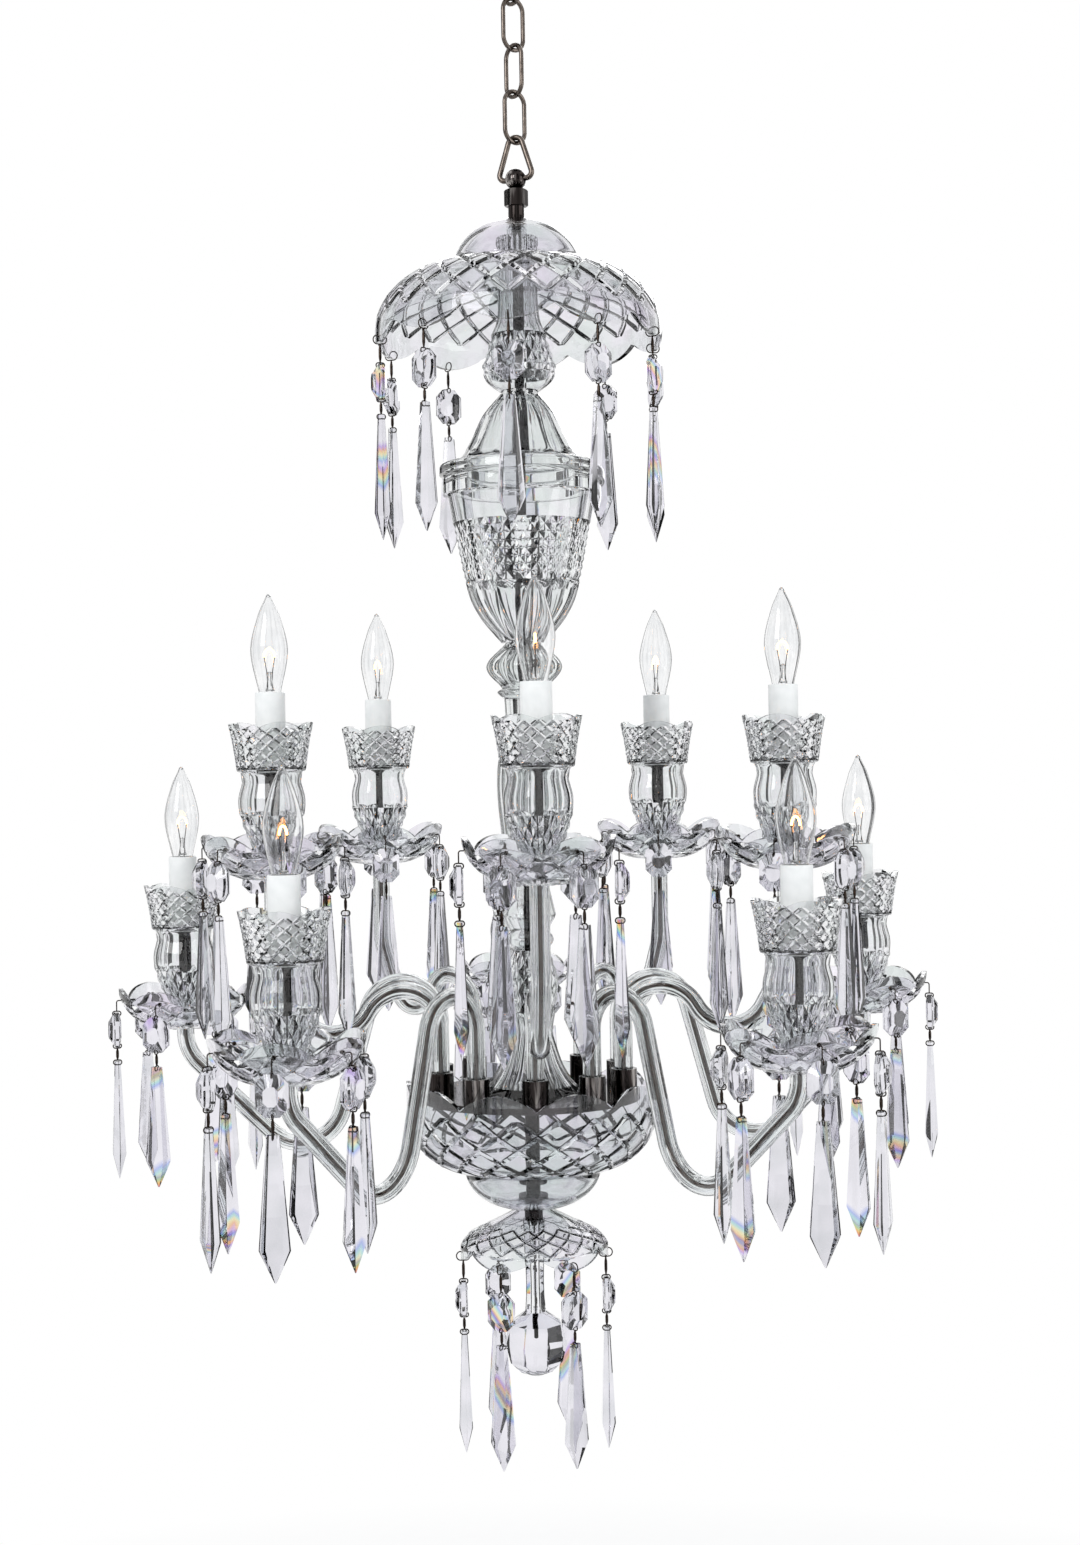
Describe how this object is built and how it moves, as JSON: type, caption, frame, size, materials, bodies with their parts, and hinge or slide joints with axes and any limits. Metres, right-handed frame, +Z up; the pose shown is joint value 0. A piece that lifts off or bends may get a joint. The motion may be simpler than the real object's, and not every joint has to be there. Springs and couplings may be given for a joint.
{
  "type": "crystal chandelier",
  "caption": "Hanging crystal chandelier: scalloped canopy, urn column, swan-neck arms in two tiers with candle lamps, drip pans and spear prisms, on a chain.",
  "frame": {"origin": "middle of the mounting bar's top face, on the ceiling", "axes": "+Z up towards the ceiling; the front looks along -Y; the screws lie along X"},
  "size_m": [0.7744, 0.7377, 1.4047],
  "materials": {
    "crystal": "clear cut lead crystal, polished facets",
    "bulb_glass": "clear blown glass with a bright filament",
    "dark_nickel": "polished black nickel plate",
    "chain_nickel": "brown-toned nickel plate on steel wire",
    "rod_steel": "blackened steel",
    "pin_wire": "drawn dark wire",
    "candle_white": "satin white moulded tube",
    "holder_black": "moulded phenolic",
    "wire_cover": "grey-brown insulated wires"
  },
  "bodies": {
    "ceiling": {"mounting_bar": "dark_nickel", "ceiling_nipple": "dark_nickel", "ceiling_rose": "dark_nickel", "ceiling_loop": "chain_nickel"},
    "link_1": {"chain_link_1": "chain_nickel"},
    "link_2": {"chain_link_2": "chain_nickel"},
    "link_3": {"chain_link_3": "chain_nickel"},
    "link_4": {"chain_link_4": "chain_nickel"},
    "triangle": {"triangle_loop": "chain_nickel"},
    "knob": {"swivel_knob": "dark_nickel"},
    "chandelier": {"arm_cups": "dark_nickel", "arm_plate": "dark_nickel", "arm_wires": "wire_cover", "ball_finial": "crystal", "bell_cover": "crystal", "bowl": "crystal", "bowl_spacer": "rod_steel", "bowl_washer": "dark_nickel", "bulbs": "bulb_glass", "candle_sleeves": "candle_white", "canopy": "crystal", "canopy_collar": "crystal", "collar_nut": "dark_nickel", "drop_stem": "crystal", "knop": "crystal", "lamp_holders": "holder_black", "lamp_rods": "rod_steel", "lower_arms": "crystal", "lower_candle_vases": "crystal", "lower_canopy": "crystal", "lower_column": "crystal", "lower_drip_pans": "crystal", "lower_pan_pendants": "crystal", "middle_column": "crystal", "neck_coupling": "dark_nickel", "pan_pendant_wires": "pin_wire", "stem_nut": "dark_nickel", "stem_rod": "rod_steel", "upper_arms": "crystal", "upper_baluster": "crystal", "upper_candle_vases": "crystal", "upper_drip_pans": "crystal", "upper_pan_pendants": "crystal", "urn": "crystal"},
    "bottom_string_1": {"bottom_pendant_1": "crystal"},
    "bottom_string_2": {"bottom_pendant_2": "crystal"},
    "bottom_string_3": {"bottom_pendant_3": "crystal"},
    "bottom_string_4": {"bottom_pendant_4": "crystal"},
    "bottom_string_5": {"bottom_pendant_5": "crystal"},
    "bottom_string_6": {"bottom_pendant_6": "crystal"},
    "canopy_string_01": {"canopy_pendant_01": "crystal"},
    "canopy_string_02": {"canopy_pendant_02": "crystal"},
    "canopy_string_03": {"canopy_pendant_03": "crystal"},
    "canopy_string_04": {"canopy_pendant_04": "crystal"},
    "canopy_string_05": {"canopy_pendant_05": "crystal"},
    "canopy_string_06": {"canopy_pendant_06": "crystal"},
    "canopy_string_07": {"canopy_pendant_07": "crystal"},
    "canopy_string_08": {"canopy_pendant_08": "crystal"},
    "canopy_string_09": {"canopy_pendant_09": "crystal"},
    "canopy_string_10": {"canopy_pendant_10": "crystal"}
  },
  "joints": [
    {"name": "link_1_swing", "type": "hinge", "parent": "ceiling", "child": "link_1", "pos_m": [0, 0, -0.07375], "axis": [0.809, 0.5878, 0], "range_deg": [-25, 25]},
    {"name": "link_2_swing", "type": "hinge", "parent": "link_1", "child": "link_2", "pos_m": [0, 0, -0.11455], "axis": [0.5878, -0.809, 0], "range_deg": [-25, 25]},
    {"name": "link_3_swing", "type": "hinge", "parent": "link_2", "child": "link_3", "pos_m": [0, 0, -0.15585], "axis": [0.809, 0.5878, 0], "range_deg": [-25, 25]},
    {"name": "link_4_swing", "type": "hinge", "parent": "link_3", "child": "link_4", "pos_m": [0, 0, -0.19715], "axis": [0.5878, -0.809, 0], "range_deg": [-25, 25]},
    {"name": "triangle_swing", "type": "hinge", "parent": "link_4", "child": "triangle", "pos_m": [0, 0, -0.23845], "axis": [0.809, 0.5878, 0], "range_deg": [-15, 15]},
    {"name": "knob_swing", "type": "hinge", "parent": "triangle", "child": "knob", "pos_m": [0, 0, -0.27085], "axis": [0.866, -0.5, 0], "range_deg": [-20, 20]},
    {"name": "swivel_turn", "type": "hinge", "parent": "knob", "child": "chandelier", "pos_m": [0, 0, -0.28065], "axis": [0, 0, 1], "range_deg": [-170, 170]},
    {"name": "canopy_string_01_swing", "type": "hinge", "parent": "chandelier", "child": "canopy_string_01", "pos_m": [-0.01312, -0.12481, -0.41415], "axis": [-0.9945, 0.1045, 0], "range_deg": [-12, 15]},
    {"name": "canopy_string_02_swing", "type": "hinge", "parent": "chandelier", "child": "canopy_string_02", "pos_m": [0.06275, -0.10869, -0.41415], "axis": [-0.866, -0.5, 0], "range_deg": [-12, 15]},
    {"name": "canopy_string_03_swing", "type": "hinge", "parent": "chandelier", "child": "canopy_string_03", "pos_m": [0.11465, -0.05105, -0.41415], "axis": [-0.4067, -0.9135, 0], "range_deg": [-12, 15]},
    {"name": "canopy_string_04_swing", "type": "hinge", "parent": "chandelier", "child": "canopy_string_04", "pos_m": [0.12276, 0.02609, -0.41415], "axis": [0.2079, -0.9781, 0], "range_deg": [-12, 15]},
    {"name": "canopy_string_05_swing", "type": "hinge", "parent": "chandelier", "child": "canopy_string_05", "pos_m": [0.08398, 0.09327, -0.41415], "axis": [0.7431, -0.6691, 0], "range_deg": [-12, 15]},
    {"name": "canopy_string_06_swing", "type": "hinge", "parent": "chandelier", "child": "canopy_string_06", "pos_m": [0.01312, 0.12481, -0.41415], "axis": [0.9945, -0.1045, 0], "range_deg": [-12, 15]},
    {"name": "canopy_string_07_swing", "type": "hinge", "parent": "chandelier", "child": "canopy_string_07", "pos_m": [-0.06275, 0.10869, -0.41415], "axis": [0.866, 0.5, 0], "range_deg": [-12, 15]},
    {"name": "canopy_string_08_swing", "type": "hinge", "parent": "chandelier", "child": "canopy_string_08", "pos_m": [-0.11465, 0.05105, -0.41415], "axis": [0.4067, 0.9135, 0], "range_deg": [-12, 15]},
    {"name": "canopy_string_09_swing", "type": "hinge", "parent": "chandelier", "child": "canopy_string_09", "pos_m": [-0.12276, -0.02609, -0.41415], "axis": [-0.2079, 0.9781, 0], "range_deg": [-12, 15]},
    {"name": "canopy_string_10_swing", "type": "hinge", "parent": "chandelier", "child": "canopy_string_10", "pos_m": [-0.08398, -0.09327, -0.41415], "axis": [-0.7431, 0.6691, 0], "range_deg": [-12, 15]},
    {"name": "bottom_string_1_swing", "type": "hinge", "parent": "chandelier", "child": "bottom_string_1", "pos_m": [0.03188, -0.05521, -1.22675], "axis": [-0.866, -0.5, 0], "range_deg": [-12, 15]},
    {"name": "bottom_string_2_swing", "type": "hinge", "parent": "chandelier", "child": "bottom_string_2", "pos_m": [0.06375, 0, -1.22675], "axis": [0, -1, 0], "range_deg": [-12, 15]},
    {"name": "bottom_string_3_swing", "type": "hinge", "parent": "chandelier", "child": "bottom_string_3", "pos_m": [0.03188, 0.05521, -1.22675], "axis": [0.866, -0.5, 0], "range_deg": [-12, 15]},
    {"name": "bottom_string_4_swing", "type": "hinge", "parent": "chandelier", "child": "bottom_string_4", "pos_m": [-0.03188, 0.05521, -1.22675], "axis": [0.866, 0.5, 0], "range_deg": [-12, 15]},
    {"name": "bottom_string_5_swing", "type": "hinge", "parent": "chandelier", "child": "bottom_string_5", "pos_m": [-0.06375, 0, -1.22675], "axis": [0, 1, 0], "range_deg": [-12, 15]},
    {"name": "bottom_string_6_swing", "type": "hinge", "parent": "chandelier", "child": "bottom_string_6", "pos_m": [-0.03188, -0.05521, -1.22675], "axis": [-0.866, 0.5, 0], "range_deg": [-12, 15]}
  ]
}
